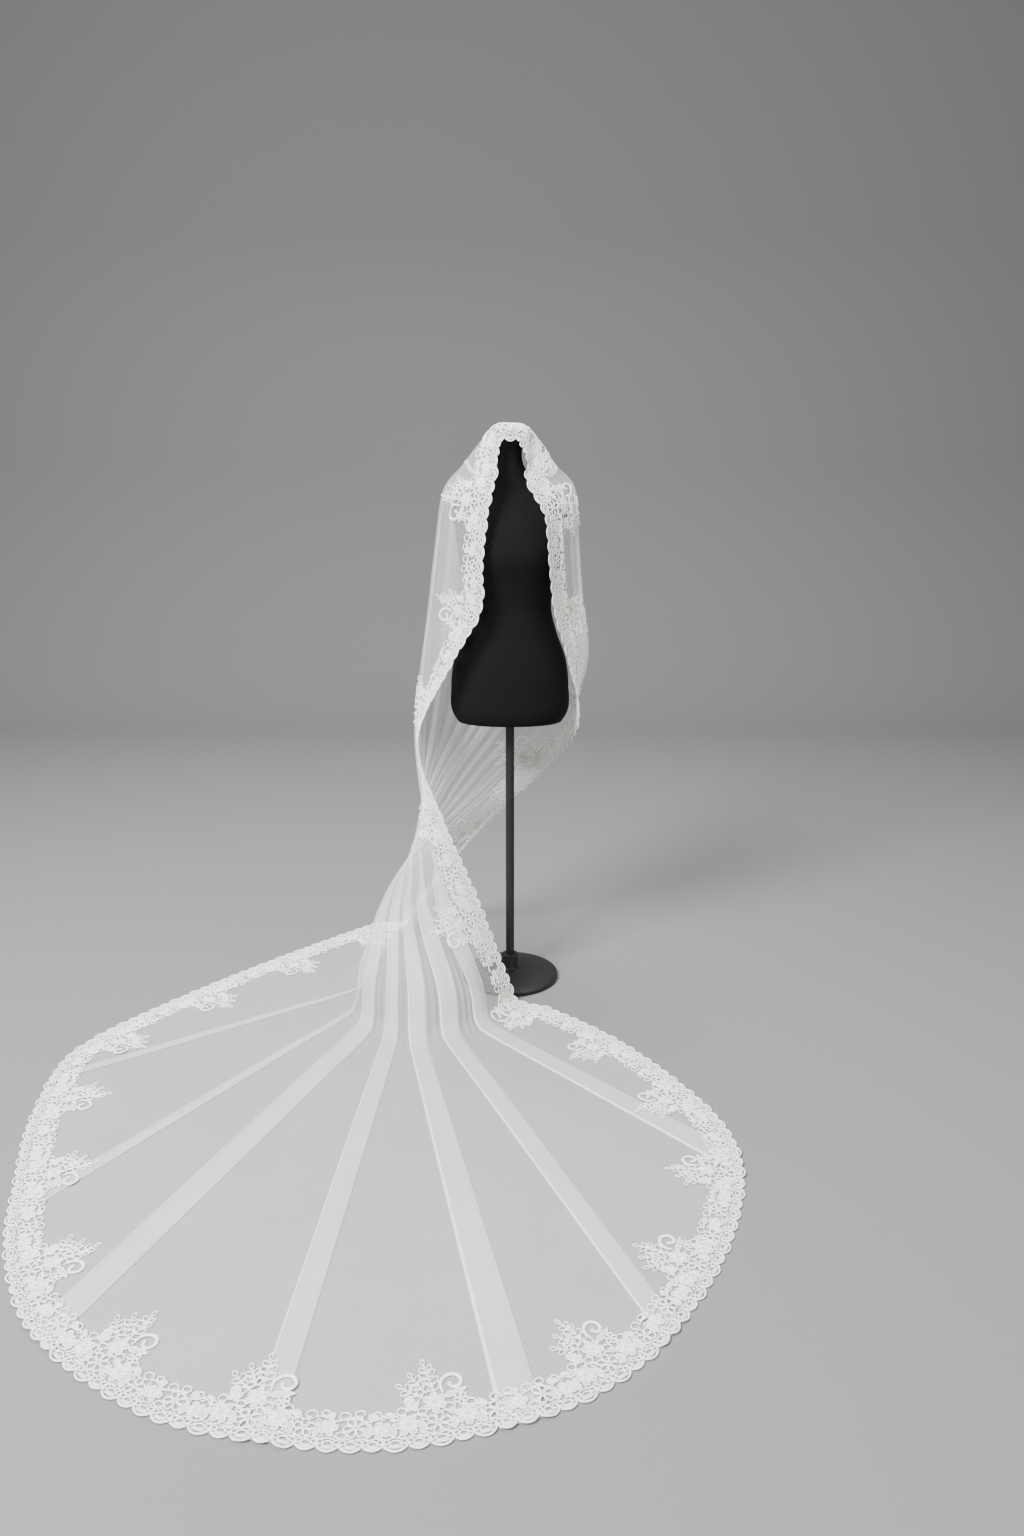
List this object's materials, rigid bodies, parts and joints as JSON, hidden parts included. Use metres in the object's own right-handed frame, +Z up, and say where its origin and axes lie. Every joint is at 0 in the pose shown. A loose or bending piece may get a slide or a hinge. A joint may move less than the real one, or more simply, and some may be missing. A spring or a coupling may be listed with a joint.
{
  "type": "bridal veil on dress form",
  "caption": "Long lace-edged bridal veil of soft net over the neck of a limbless dress form, its pleated train swept to one side and fanned out on the floor.",
  "frame": {"origin": "middle of the stand's underside, on the floor", "axes": "+Z up, -Y the form's front, -X the side the train is swept to"},
  "size_m": [1.6856, 2.0879, 1.6215],
  "materials": {
    "tulle": "sheer soft net",
    "lace": "matt corded lace",
    "form_cover": "matt jersey",
    "stand": "satin black"
  },
  "bodies": {
    "root": {"veil_tulle": "tulle", "veil_lace_border": "lace", "form_torso": "form_cover", "form_neck_cap": "stand", "form_pole": "stand", "form_base": "stand"}
  },
  "joints": []
}
